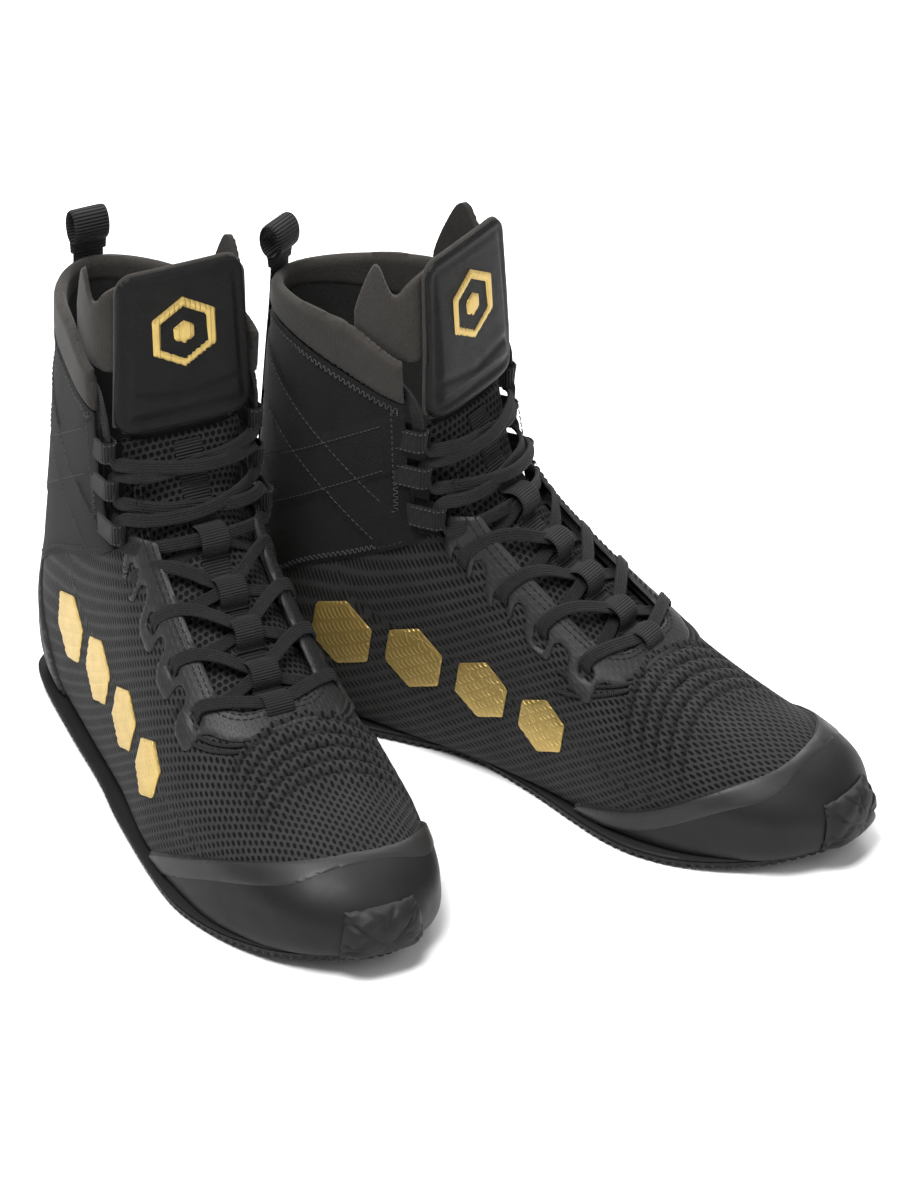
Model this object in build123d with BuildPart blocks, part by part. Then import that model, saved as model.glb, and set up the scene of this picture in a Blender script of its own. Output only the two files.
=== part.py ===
"""A pair of high-top lace-up boxing boots, millimetres, +Z up, standing side by side.

Each boot is laid out in its own frame: X runs from the heel (0) to the toe, +Y is the outer
(lateral) side of the left boot, Z is up from the floor. The right boot is its mirror image.
"""

from build123d import *
import os
from math import cos, pi, radians, sin, tan
import numpy as np

os.makedirs("parts", exist_ok=True)

# ---------------------------------------------------------------- driving dimensions
BOOT_LENGTH = 288  # heel to toe over the outsole
SOLE_THICK = 4.4  # rubber outsole
SPRING_START = 212  # where the toe begins to rise
SPRING_RISE = 8.0  # height of the outsole's underside at the toe
LAYER_GAP = 0.1  # clearance between sewn or glued layers
SEAM_GAP = 0.3  # clearance between panels that meet edge to edge
SKIN = (0.0, -1.4)  # outer and inner offset of mesh, elastic and collar fabric
LINING = (-1.5, -3.4)
OVERLAY = (1.5, 0.1)  # moulded toe cap and heel counter
FILM = (1.5, 0.4)  # eyestay
PATCH = (0.9, 0.4)
TONGUE = (-4.6, -7.4)
WEBBING = (-3.6, -4.5)
PAD = (0.1, -3.4)
WING = (-4.6, -6.0)
BUMPER = (4.0, 1.6)
LACE_DIAMETER = 2.6
EYELETS = [(120, 94.0), (139, 84.5), (158, 76.0), (179, 68.5)]  # (x, z) of each slit
EYELET_HALF_SPACING = 29.5
THROAT_HALF_WIDTH = 20.5
THROAT_END = 194.5
FOOT_CUT_END = 197
FOOT_CUT_HALF_WIDTH = 32.8
SHAFT_FRONT = 97.5  # the shaft's front edges stop here, the tongue fills the rest
HINGE_Z = 152.0  # height of the seam about which the padded tongue top folds
LOOP_X, LOOP_Z = 16.5, 185.4  # root of the heel pull loop
LOOP_WIDTH = 15
PAIR_ORIGIN = (-20.3, 21.6)
RIGHT_HEEL, RIGHT_TURN = (-129.0, 108.0), -63.9
LEFT_HEEL, LEFT_TURN = (-60.0, 93.0), -33.1

# ---------------------------------------------------------------- the last (foot form)
# Closed sections fan from the toe, round the instep, up to the level top of the shaft:
# (front x, front z, back x, back z, half width, top centre, bottom centre,
#  roundness of the front or top half, of the back or bottom half, narrowing to the front)
SECTIONS = [
    (281, 25, 281, 8, 12, 0, 0, 2.2, 2.4, 0.00),
    (276, 32, 277, 6, 21, 0, 0, 2.2, 2.6, 0.02),
    (266, 38, 268, 4, 30, 0, 0, 2.2, 3.2, 0.05),
    (250, 44, 252, 1, 37, -1.5, 2, 2.2, 4.0, 0.08),
    (225, 51, 228, -1, 42, -2.5, 3.5, 2.3, 4.6, 0.12),
    (198, 62, 198, -2, 43, -2, 5, 2.5, 4.8, 0.12),
    (174, 77, 164, -2, 40, -0.5, 8, 2.7, 4.6, 0.10),
    (150, 95, 125, -2, 36, 0, 7, 2.7, 4.4, 0.04),
    (132, 111, 78, -2, 34, 0, 4, 2.8, 4.4, 0.00),
    (121, 127, 25, 0, 32.5, 0, 0, 3.0, 4.2, -0.05),
    (117, 135, 9, 18, 32, 0, 0, 3.4, 3.4, -0.10),
    (113.5, 143, 6, 50, 31.5, 0, 0, 3.9, 2.7, -0.15),
    (109, 156, 10, 100, 31, 0, 0, 4.6, 2.3, -0.22),
    (107, 172, 14, 145, 31, 0, 0, 5.0, 2.2, -0.27),
    (106, 188, 17, 178, 31, 0, 0, 5.0, 2.2, -0.30),
    (103.5, 228, 19, 228, 31, 0, 0, 5.0, 2.2, -0.30),
]

def section_values(place):
    """The section table at fractional rows, smoothed from row to row."""
    last = len(SECTIONS) - 1
    low = min(int(place), last - 1)
    part = place - low
    p0, p1, p2, p3 = (np.array(SECTIONS[min(max(low + k, 0), last)], float) for k in (-1, 0, 1, 2))
    return 0.5 * (2 * p1 + (p2 - p0) * part + (2 * p0 - 5 * p1 + 4 * p2 - p3) * part**2
                  + (3 * p1 - p0 - 3 * p2 + p3) * part**3)


def section_ring(values, turns, grow, nose=0.0):
    """Points of one section at the given turns from its front or top, grown by an offset."""
    front_x, front_z, back_x, back_z, half, top_c, low_c, round_f, round_b, narrow = values
    power = 2 / np.where(np.cos(turns) > 0, round_f, round_b)
    rise = np.sign(np.cos(turns)) * np.abs(np.cos(turns)) ** power
    reach = np.sign(np.sin(turns)) * np.abs(np.sin(turns)) ** power
    tall = np.hypot(front_x - back_x, front_z - back_z)
    along = 0.5 + 0.5 * rise * (1 + 2 * grow / tall)
    centre = low_c + (top_c - low_c) * (rise + 1) / 2
    return np.stack([
        back_x + (front_x - back_x) * along + nose * grow,
        centre + (half * (1 - narrow * rise) + grow) * reach,
        back_z + (front_z - back_z) * along,
    ], -1)


class FormGrid:
    """The boot form as rows of points from the toe to the top, columns spaced evenly round each row."""

    def __init__(self, steps, columns):
        last = len(SECTIONS) - 1
        self.places = np.linspace(0, last, steps * last + 1)
        half_turns = np.linspace(0, pi, 400)
        shares = np.linspace(-1, 1, columns + 1)
        self.turns = []
        for place in self.places:
            ring = section_ring(section_values(place), half_turns, 0)
            walked = np.concatenate([[0], np.cumsum(np.linalg.norm(np.diff(ring, axis=0), axis=1))])
            turn = np.interp(np.abs(shares), walked / walked[-1], half_turns)
            self.turns.append(np.sign(shares) * turn)
        self.rest = self.points(0)

    def points(self, grow):
        rings = [section_ring(section_values(place), turn, grow, max(0, 1 - place))
                 for place, turn in zip(self.places, self.turns)]
        tip = rings[0].mean(0) + (2, 0, 0)
        return np.stack([np.tile(tip, (rings[0].shape[0], 1))] + rings)

    def clip(self, keep):
        """The grid's triangles trimmed to where keep is above zero."""
        rows, columns = keep.shape
        corners, faces, known = [], [], {}

        def corner(key, ends):
            if key not in known:
                known[key] = len(corners)
                corners.append(ends)
            return known[key]

        def name(cell):
            return (0, 0) if cell[0] == 0 else (cell[0], cell[1] % (columns - 1))

        for i in range(rows - 1):
            for j in range(columns - 1):
                cell = [(i, j), (i + 1, j), (i + 1, j + 1), (i, j + 1)]
                for pick in ((0, 1, 2), (0, 2, 3)):
                    triangle = [cell[k] for k in pick]
                    if len({name(c) for c in triangle}) < 3:
                        continue
                    face = []
                    for a, b in zip(triangle, triangle[1:] + triangle[:1]):
                        if keep[a] > 0:
                            face.append(corner((name(a),), (a, a, 0.0)))
                        if (keep[a] > 0) != (keep[b] > 0):
                            if name(a) > name(b):
                                a, b = b, a
                            share = min(max(keep[a] / (keep[a] - keep[b]), 0.08), 0.92)
                            face.append(corner((name(a), name(b)), (a, b, share)))
                    if len(face) > 2:
                        faces.append(face)
        return corners, faces

    def wall(self, keep, outer, inner):
        """A closed wall between two offsets of the form, trimmed to where keep is above zero."""
        corners, faces = self.clip(keep)
        layers = []
        for grow in (outer, inner):
            grid = self.points(grow)
            layers += [grid[a] * (1 - share) + grid[b] * share for a, b, share in corners]
        count = len(corners)
        edges = {(a, b) for face in faces for a, b in zip(face, face[1:] + face[:1])}
        closed = list(faces)
        closed += [[k + count for k in face[::-1]] for face in faces]
        for a, b in sorted(edges):
            if (b, a) not in edges:
                closed += [[b, a, a + count], [b, a + count, b + count]]
        return closed_solids(layers, closed)


def closed_solids(points, faces):
    """Solids bounded by flat faces, one for each connected group of faces."""
    vectors = [Vector(*(float(c) for c in point)) for point in points]
    group = list(range(len(points)))

    def root(k):
        while group[k] != k:
            k = group[k]
        return k

    for face in faces:
        for k in face[1:]:
            group[root(k)] = root(face[0])
    members = {}
    for face in faces:
        wire = Wire.make_polygon([vectors[k] for k in face], close=True)
        members.setdefault(root(face[0]), []).append(Face(wire))
    return [Solid(Shell(flat)) for flat in members.values()]


BROAD = FormGrid(2, 24)
FINE = FormGrid(4, 64)


def line(points, along):
    return np.interp(along, [p[0] for p in points], [p[1] for p in points])


def both(*keeps):
    return np.minimum.reduce(keeps)


def either(*keeps):
    return np.maximum.reduce(keeps)


def above_sole(grid):
    x, z = grid.rest[..., 0], grid.rest[..., 2]
    return z - SOLE_THICK - 0.3 - SPRING_RISE * np.clip((x - SPRING_START) / 72, 0, 2) ** 2


def slot(grid, half_width, end, corner):
    """Distance outside a slot along the instep, square at the back and rounded at the front."""
    across, along = np.abs(grid.rest[..., 1]) - half_width + corner, grid.rest[..., 0] - end + corner
    outside = np.hypot(np.maximum(across, 0), np.maximum(along, 0))
    return outside + np.minimum(np.maximum(across, along), 0) - corner


# The throat: open over the instep between the eyestays, and at the shaft's front.
INSTEP_FLOOR = [(90, 92), (118, 80), (139, 72), (158, 63), (180, 54), (194, 48)]
FRONT_EDGE = [(103, 101.5), (128, 97.5)]


def clear_of_throat(grid):
    x, z = grid.rest[..., 0], grid.rest[..., 2]
    instep = either(slot(grid, FOOT_CUT_HALF_WIDTH, FOOT_CUT_END, 18), line(INSTEP_FLOOR, x) - z, 80 - x)
    return both(instep, either(line(FRONT_EDGE, z) - x, 103 - z))


# Edge lines in side view.
WRAP_LOW = [(-10, 40), (23, 54), (48, 71), (74, 84), (100, 98), (114, 110)]
COLLAR_LOW = [(-10, 171), (40, 169), (75, 164), (120, 156)]
COLLAR_TOP = [(-10, 181), (16, 182), (65, 187), (97, 179), (120, 171)]
CAP_EDGE = [(176, 0), (182, 9), (216, 23), (248, 36), (262, 42), (272, 60)]
COUNTER_EDGE = [(0, 52), (16, 42), (36, 26), (50, 18), (60, 4)]  # (z, x)
BX, BY, BZ = BROAD.rest[..., 0], BROAD.rest[..., 1], BROAD.rest[..., 2]
FX, FY, FZ = FINE.rest[..., 0], FINE.rest[..., 1], FINE.rest[..., 2]


def sole_band(low, high):
    """A slab between two heights that follows the toe spring."""
    with BuildPart() as band:
        with BuildSketch(Plane.XZ):
            with BuildLine():
                Line((-30, low), (SPRING_START, low))
                low_arc = ThreePointArc(
                    (SPRING_START, low), (252, low + SPRING_RISE * 0.28), (296, low + SPRING_RISE * 1.25)
                )
                Line(low_arc @ 1, (296, high + SPRING_RISE * 1.25))
                ThreePointArc(
                    (296, high + SPRING_RISE * 1.25), (252, high + SPRING_RISE * 0.28), (SPRING_START, high)
                )
                Line((SPRING_START, high), (-30, high))
                Line((-30, high), (-30, low))
            make_face()
        extrude(amount=80, both=True)
    return band.part


def plate(low, high, inset):
    """A flat layer inside the boot between two heights, following its inner outline and the toe spring."""
    grid = FINE.points(-inset)
    inner = grid.reshape(-1, 3)
    ring = inner[np.abs(inner[:, 2] - low - SPRING_RISE * np.clip((inner[:, 0] - SPRING_START) / 72, 0, 2) ** 2) < 2.2]
    stations = np.linspace(ring[:, 0].min() + 4, ring[:, 0].max() - 5, 24)
    points, faces = [], []
    for x in stations:
        near = ring[np.abs(ring[:, 0] - x) < 7]
        lift = SPRING_RISE * np.clip((x - SPRING_START) / 72, 0, 2) ** 2
        wide, narrow = near[:, 1].max(), near[:, 1].min()
        points += [(x, wide, low + lift), (x, wide, high + lift), (x, narrow, high + lift), (x, narrow, low + lift)]
    for k in range(0, len(points) - 4, 4):
        for side in range(4):
            a, b = k + side, k + (side + 1) % 4
            faces += [[a, b, b + 4], [a, b + 4, a + 4]]
    faces += [[3, 2, 1, 0], [len(points) - 4 + side for side in range(4)]]
    return closed_solids(points, faces)


# ---------------------------------------------------------------- sole unit
LATERAL = [(12, 25), (30, 33.5), (75, 40.5), (107, 44.5), (140, 50), (190, 54.9), (217, 53.2), (245, 44), (268, 28)]
MEDIAL = [(268, -26), (245, -41), (221, -48), (195, -46.5), (150, -32), (118, -25), (93, -28.5), (50, -34), (12, -25)]
GROOVE_PITCH = 12
with BuildPart() as outsole:
    with BuildSketch():
        with BuildLine():
            Spline((0, 0), *LATERAL, (BOOT_LENGTH - 4, 0), *MEDIAL, periodic=True)
        make_face()
    extrude(amount=40)
    add(sole_band(0, SOLE_THICK), mode=Mode.INTERSECT)
    with Locations(*[(x, 0, 0) for x in range(22, 206, GROOVE_PITCH)]):
        Box(2, 130, 2.4, mode=Mode.SUBTRACT)
    add(BROAD.wall(both(17 - (BZ - 5) * 0.18 - np.abs(BY), 27 - BZ, BZ - 4.5, BX - 262), *BUMPER))

with BuildPart() as midsole:
    add(plate(5.2, 7.4, 6.8))

with BuildPart() as lasting_board:
    add(plate(7.6, 8.8, 7.4))

with BuildPart() as insole:
    add(plate(9.0, 12.9, 7.4))

# ---------------------------------------------------------------- upper
with BuildPart() as mesh_upper:
    add(BROAD.wall(both(above_sole(BROAD), line(WRAP_LOW, BX) - SEAM_GAP - BZ, clear_of_throat(BROAD)), *SKIN))

with BuildPart() as ankle_wrap:
    add(BROAD.wall(both(BZ - line(WRAP_LOW, BX), line(COLLAR_LOW, BX) - SEAM_GAP - BZ, clear_of_throat(BROAD)), *SKIN))

with BuildPart() as collar:
    add(BROAD.wall(both(BZ - line(COLLAR_LOW, BX), line(COLLAR_TOP, BX) - BZ, clear_of_throat(BROAD)), *SKIN))

with BuildPart() as lining:
    add(BROAD.wall(both(above_sole(BROAD), line(COLLAR_TOP, BX) - 1 - BZ, clear_of_throat(BROAD)), *LINING))

with BuildPart() as toe_cap:
    add(BROAD.wall(both(above_sole(BROAD) - 1.6, line(CAP_EDGE, BX) - BZ, BX - 184), *OVERLAY))

with BuildPart() as heel_counter:
    add(BROAD.wall(both(above_sole(BROAD) - 1.6, line(COUNTER_EDGE, BZ) - BX, 60 - BZ), *OVERLAY))

# The eyestay: a strip each side of the throat, joined below it, with a tab at each slit.
STRIP_WIDTH, STRIP_START, STRIP_TOP = 12.3, 116, 107
TAB_HALF_LENGTH, TAB_HALF_WIDTH, TAB_CENTRE = 6.5, 6, 35
TABS = [both(TAB_HALF_LENGTH - np.abs(FX - x + 1), TAB_HALF_WIDTH - np.abs(np.abs(FY) - TAB_CENTRE)) for x, z in EYELETS]
SLITS = [either(np.abs(FX - x) - 2.8, np.abs(np.abs(FY) - EYELET_HALF_SPACING) - 2.2) for x, z in EYELETS]
STRIP = slot(FINE, THROAT_HALF_WIDTH, THROAT_END, 12)
ON_TOP = both(FZ - line(INSTEP_FLOOR, FX), FX - STRIP_START, STRIP_TOP - FZ)
with BuildPart() as eyestay:
    add(FINE.wall(both(either(STRIP_WIDTH - STRIP, *TABS), STRIP, ON_TOP, *SLITS), *FILM))

# ---------------------------------------------------------------- side patches
HEXAGONS = [(66, 47, 15.5), (100, 46, 14.5), (132, 42, 13.5), (162, 37, 12.5)]
HEXAGON_TURN = 20


def hexagon(along, up, radius, turn):
    """Distance inside a regular hexagon."""
    faces = [radians(turn + 30 + 60 * k) for k in range(6)]
    return radius * cos(pi / 6) - np.maximum.reduce([along * cos(a) + up * sin(a) for a in faces])


ON_SIDE = either(*[hexagon(FX - x, FZ - z, radius, HEXAGON_TURN) for x, z, radius in HEXAGONS])
with BuildPart() as outer_patches:
    add(FINE.wall(both(ON_SIDE, FY - 15), *PATCH))

with BuildPart() as inner_patches:
    add(FINE.wall(both(ON_SIDE, -15 - FY), *PATCH))

# ---------------------------------------------------------------- tongue
TONGUE_LOW = [(88, 120), (120, 78), (150, 62), (180, 48), (196, 44)]
TONGUE_TOP_Z = 150.8
with BuildPart() as tongue:
    add(BROAD.wall(both(30 - np.abs(BY), BZ - line(TONGUE_LOW, BX), TONGUE_TOP_Z - BZ, 196 - BX, BX - 88), *TONGUE))

with BuildPart() as tongue_webbing:
    add(BROAD.wall(both(6.5 - np.abs(BY), BZ - line(TONGUE_LOW, BX) - 4, 146 - BZ, 194 - BX, BX - 92), *WEBBING))

# Webbing loops along the tongue, each bridging the crossing laces: (x, z, slope in degrees).
KEEPERS = [(188, 68.2, 34), (175.5, 76, 36), (160.5, 87, 37), (146.5, 98, 40), (130.5, 112.8, 50)]
KEEPER_LENGTH, KEEPER_WIDTH, KEEPER_RISE, KEEPER_THICK = 11.5, 12, 7.4, 1.0
KEEPER_FOOT = -3.5
with BuildPart() as lace_keepers:
    for x, z, slope in KEEPERS:
        along = Vector(-cos(radians(slope)), 0, sin(radians(slope)))
        outward = Vector(sin(radians(slope)), 0, cos(radians(slope)))
        foot = Vector(x, 0, z) + outward * KEEPER_FOOT
        with BuildSketch(Plane(origin=foot, x_dir=along, z_dir=(0, 1, 0))) as arch:
            sign = 1 if arch.workplanes[0].y_dir.dot(outward) > 0 else -1
            with Locations((0, sign * KEEPER_RISE / 2)):
                Rectangle(KEEPER_LENGTH, KEEPER_RISE)
            with Locations((0, sign * (KEEPER_RISE - KEEPER_THICK) / 2)):
                Rectangle(KEEPER_LENGTH - 2 * KEEPER_THICK, KEEPER_RISE - KEEPER_THICK, mode=Mode.SUBTRACT)
        extrude(amount=KEEPER_WIDTH / 2, both=True)

# The padded top of the tongue, above its fold line.
with BuildPart() as tongue_top:
    add(BROAD.wall(both(29 - (BZ - 153) * 0.045 - np.abs(BY), BZ - HINGE_Z - 1, 219 - BZ, BX - SHAFT_FRONT - 1), *PAD))

WING_TOP = [(78, 200), (81, 205), (89, 223), (92, 200), (101, 214)]
with BuildPart() as tongue_wings:
    add(FINE.wall(both(np.abs(FY) - 25, FZ - 178, line(WING_TOP, FX) - FZ, FX - 80, 101 - FX), *WING))

EMBLEM_Z, EMBLEM_RADIUS, EMBLEM_HOLE, EMBLEM_CORE = 192, 15, 11, 5
RING = both(hexagon(FY, FZ - EMBLEM_Z, EMBLEM_RADIUS, 30), -hexagon(FY, FZ - EMBLEM_Z, EMBLEM_HOLE, 30))
CORE = hexagon(FY, FZ - EMBLEM_Z, EMBLEM_CORE, 30)
with BuildPart() as tongue_emblem:
    add(FINE.wall(both(either(RING, CORE), FX - SHAFT_FRONT), *PATCH))

# ---------------------------------------------------------------- strap loops on the shaft's front edges
STRAPS = [(111, 31.5, 113), (104, 31.0, 129), (102.7, 31.5, 145)]  # lace centre (x, y, z)
STRAP_TALL, STRAP_INNER, STRAP_THICK, STRAP_TAIL = 10, 2.2, 1.0, 13
with BuildPart() as strap_loops:
    for x, y, z in STRAPS:
        for side in (1, -1):
            with BuildSketch(Plane.XY.offset(z - STRAP_TALL / 2)):
                with Locations((x, side * y)):
                    Circle(STRAP_INNER + STRAP_THICK)
                with Locations((x - STRAP_TAIL / 2, side * y)):
                    Rectangle(STRAP_TAIL, 2 * (STRAP_INNER + STRAP_THICK))
                with Locations((x, side * y)):
                    Circle(STRAP_INNER, mode=Mode.SUBTRACT)
            extrude(amount=STRAP_TALL)
    with Locations((SHAFT_FRONT - 19.4, 0, 130)):
        Box(40, 100, 80, mode=Mode.SUBTRACT)

# ---------------------------------------------------------------- lace
# Half of the lace, from the bar over the lowest slits up one side's zigzag to its tucked-in end:
# (x, y, z), every crossing of the centre line lying over the other half's.
LACE_HALF = [
    (184, 17, 71.8), (178.5, 29.5, 70.3), (178, 29.5, 63.4), (177.5, 25.5, 64), (178, 18, 67.6),
    (176.1, 0, 76.8), (165, -18.5, 84.6), (158.5, -29.5, 80.3), (158, -29.5, 73.5), (159, -25.5, 74.8),
    (160.2, -18.5, 79.4), (161.1, 0, 87.7), (148.5, 18.5, 96.4), (140, 29.5, 89.7), (139.4, 29.5, 82.8),
    (140.3, 25.5, 84.6), (143.3, 18.5, 91), (147.1, 0, 98.8), (134, -19, 108), (121.6, -29.5, 99.5),
    (120.8, -29.5, 92.6), (122.8, -25.8, 95.6), (128, -18.5, 102.6), (131.2, 0, 113.6), (128.2, 15, 112),
    (120.5, 26, 108.8), (111.5, 31.5, 106.5), (110.8, 31.5, 119.3), (118.8, 25, 120.2), (123.4, 14, 121),
    (125.3, 0, 122.3), (120.8, -15, 124), (113.4, -25, 124.3), (104.5, -31, 123.3), (103.8, -31, 135.4),
    (110.4, -25, 135.4), (114.8, -14, 136), (117.4, 0, 137.6), (113.8, 15, 139.3), (109, 25, 139.8),
    (103, 31.5, 139.5), (102.4, 31.5, 151), (101.6, 32, 157), (98.5, 31.5, 162), (93, 30.2, 165), (86, 29.5, 165.5),
]
# The other half crosses the centre line under it.
LACE_UNDER = {76.8: (174.5, 0, 74.5), 87.7: (159.3, 0, 85.4), 98.8: (145.3, 0, 96.5),
              113.6: (128.9, 0, 111.7), 122.3: (122.1, 0, 122.9), 137.6: (114.1, 0, 138)}
LACE_BAR = (188.4, 0, 68.9)
LARGEST_BEND = 60


def lace_route():
    other = [LACE_UNDER.get(z, (x, -y, z)) if y == 0 else (x, -y, z) for x, y, z in LACE_HALF]
    return other[::-1] + [LACE_BAR] + LACE_HALF


def bend_radii(points):
    """An arc for each corner, as large as its two runs leave room for."""
    radii = []
    for before, corner, after in zip(points, points[1:], points[2:]):
        run_in = Vector(*corner) - Vector(*before)
        run_out = Vector(*after) - Vector(*corner)
        half_turn = radians(run_in.get_angle(run_out)) / 2
        radii.append(min(LARGEST_BEND, 0.45 * min(run_in.length, run_out.length) / tan(half_turn)))
    return radii


LACE_RADII = bend_radii(lace_route())
print("lace bends from", round(min(LACE_RADII), 1), "mm")
with BuildPart() as lace:
    with BuildLine() as route:
        FilletPolyline(*lace_route(), radius=LACE_RADII)
    with BuildSketch(Plane(origin=route.line @ 0, z_dir=route.line % 0)):
        Circle(LACE_DIAMETER / 2)
    sweep()
print("lace", round(route.wires()[0].length), "mm, tube volume ratio",
      round(lace.part.volume / (route.wires()[0].length * pi * LACE_DIAMETER**2 / 4), 3))

AGLET_LENGTH, AGLET_DIAMETER = 20, 3.2
with BuildPart() as lace_aglets:
    for side in (1, -1):
        tip = Vector(86, side * 29.5, 165.5)
        heading = Vector(-19, -side * 2.2, -5).normalized()
        with BuildSketch(Plane(origin=tip + heading * 0.2, z_dir=heading)):
            Circle(AGLET_DIAMETER / 2)
        extrude(amount=AGLET_LENGTH)

# ---------------------------------------------------------------- heel pull loop
with BuildPart() as pull_loop:
    with BuildSketch(Plane.XZ):
        with Locations((LOOP_X, LOOP_Z + 10.5)):
            Ellipse(5.2, 7.5)
        with Locations((LOOP_X, LOOP_Z + 2)):
            Rectangle(2.8, 4.6)
        with Locations((LOOP_X, LOOP_Z + 10.5)):
            Ellipse(3.8, 6.1, mode=Mode.SUBTRACT)
    extrude(amount=LOOP_WIDTH / 2, both=True)

# ---------------------------------------------------------------- write both boots
PIECES = {
    "outsole": outsole,
    "midsole": midsole,
    "lasting_board": lasting_board,
    "insole": insole,
    "mesh_upper": mesh_upper,
    "ankle_wrap": ankle_wrap,
    "collar": collar,
    "lining": lining,
    "toe_cap": toe_cap,
    "heel_counter": heel_counter,
    "eyestay": eyestay,
    "outer_patches": outer_patches,
    "inner_patches": inner_patches,
    "tongue": tongue,
    "tongue_webbing": tongue_webbing,
    "lace_keepers": lace_keepers,
    "tongue_top": tongue_top,
    "tongue_wings": tongue_wings,
    "tongue_emblem": tongue_emblem,
    "strap_loops": strap_loops,
    "lace": lace,
    "lace_aglets": lace_aglets,
    "pull_loop": pull_loop,
}
for boot, heel, turn, mirrored in (("left", LEFT_HEEL, LEFT_TURN, False), ("right", RIGHT_HEEL, RIGHT_TURN, True)):
    stand = Location((PAIR_ORIGIN[0] + heel[0], PAIR_ORIGIN[1] + heel[1], 0), (0, 0, turn))
    for name, piece in PIECES.items():
        shape = mirror(piece.part, about=Plane.XZ) if mirrored else piece.part
        placed = stand * shape
        placed.label = f"{boot}_{name}"
        export_step(placed, f"parts/{boot}_{name}.step")
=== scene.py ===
from math import cos, pi, radians, sin

import bpy
import numpy as np
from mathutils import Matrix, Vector


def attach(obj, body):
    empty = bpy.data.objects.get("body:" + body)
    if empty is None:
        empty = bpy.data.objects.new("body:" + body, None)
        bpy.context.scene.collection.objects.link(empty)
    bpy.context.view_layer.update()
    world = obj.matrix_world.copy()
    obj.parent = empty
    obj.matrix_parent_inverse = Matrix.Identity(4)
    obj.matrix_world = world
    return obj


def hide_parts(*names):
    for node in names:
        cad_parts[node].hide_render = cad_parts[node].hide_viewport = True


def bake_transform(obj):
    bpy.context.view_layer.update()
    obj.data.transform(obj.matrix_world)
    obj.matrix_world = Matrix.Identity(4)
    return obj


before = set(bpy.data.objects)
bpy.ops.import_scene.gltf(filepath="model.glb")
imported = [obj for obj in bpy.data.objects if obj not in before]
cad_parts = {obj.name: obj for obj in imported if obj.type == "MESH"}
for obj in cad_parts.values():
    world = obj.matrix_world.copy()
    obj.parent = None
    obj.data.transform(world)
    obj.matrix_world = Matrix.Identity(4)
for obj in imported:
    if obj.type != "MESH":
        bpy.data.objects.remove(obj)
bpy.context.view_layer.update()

# ---------------------------------------------------------------- the pair's placing (mm)
PAIR_ORIGIN = (-20.3, 21.6)
HEEL = {"right": (-129.0, 108.0), "left": (-60.0, 93.0)}
TURN = {"right": -63.9, "left": -33.1}

# Closed sections from the toe to the top of the shaft: front x, front z, back x, back z, half width,
# top centre, bottom centre, roundness in front, roundness behind, narrowing to the front.
SECTIONS = np.array([
    (281, 25, 281, 8, 12, 0, 0, 2.2, 2.4, 0.00),
    (276, 32, 277, 6, 21, 0, 0, 2.2, 2.6, 0.02),
    (266, 38, 268, 4, 30, 0, 0, 2.2, 3.2, 0.05),
    (250, 44, 252, 1, 37, -1.5, 2, 2.2, 4.0, 0.08),
    (225, 51, 228, -1, 42, -2.5, 3.5, 2.3, 4.6, 0.12),
    (198, 62, 198, -2, 43, -2, 5, 2.5, 4.8, 0.12),
    (174, 77, 164, -2, 40, -0.5, 8, 2.7, 4.6, 0.10),
    (150, 95, 125, -2, 36, 0, 7, 2.7, 4.4, 0.04),
    (132, 111, 78, -2, 34, 0, 4, 2.8, 4.4, 0.00),
    (121, 127, 25, 0, 32.5, 0, 0, 3.0, 4.2, -0.05),
    (117, 135, 9, 18, 32, 0, 0, 3.4, 3.4, -0.10),
    (113.5, 143, 6, 50, 31.5, 0, 0, 3.9, 2.7, -0.15),
    (109, 156, 10, 100, 31, 0, 0, 4.6, 2.3, -0.22),
    (107, 172, 14, 145, 31, 0, 0, 5.0, 2.2, -0.27),
    (106, 188, 17, 178, 31, 0, 0, 5.0, 2.2, -0.30),
    (103.5, 228, 19, 228, 31, 0, 0, 5.0, 2.2, -0.30),
], float)
LAST = len(SECTIONS) - 1


def through(p0, p1, p2, p3, part):
    """A smooth curve from p1 to p2, where p0 and p3 are the points before and after."""
    return 0.5 * (2 * p1 + (p2 - p0) * part + (2 * p0 - 5 * p1 + 4 * p2 - p3) * part**2
                  + (3 * p1 - p0 - 3 * p2 + p3) * part**3)


def section_values(place):
    """The numbers of a section at a fractional place in the list."""
    low = min(int(place), LAST - 1)
    return through(*(SECTIONS[min(max(low + k, 0), LAST)] for k in (-1, 0, 1, 2)), place - low)


def section_ring(place, turns, grow):
    """Points of one section at the given turns from its front; below zero it closes over the toe."""
    values = section_values(max(place, 0))
    front_x, front_z, back_x, back_z, half, top_c, low_c, round_f, round_b, narrow = values
    closing = min(max(-place, 0), 1)
    shrink = (1 - closing**2) ** 0.5
    power = 2 / np.where(np.cos(turns) > 0, round_f, round_b)
    rise = np.sign(np.cos(turns)) * np.abs(np.cos(turns)) ** power
    reach = np.sign(np.sin(turns)) * np.abs(np.sin(turns)) ** power
    tall = np.hypot(front_x - back_x, front_z - back_z)
    along = 0.5 + 0.5 * rise * (1 + 2 * grow / tall) * shrink
    centre = low_c + (top_c - low_c) * (rise + 1) / 2
    nose = min(max(0, 1 - place), 1) * grow + 4 * closing
    return np.stack([
        back_x + (front_x - back_x) * along + nose,
        centre + (half * (1 - narrow * rise) + grow) * shrink * reach,
        back_z + (front_z - back_z) * along,
    ], -1)


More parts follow.
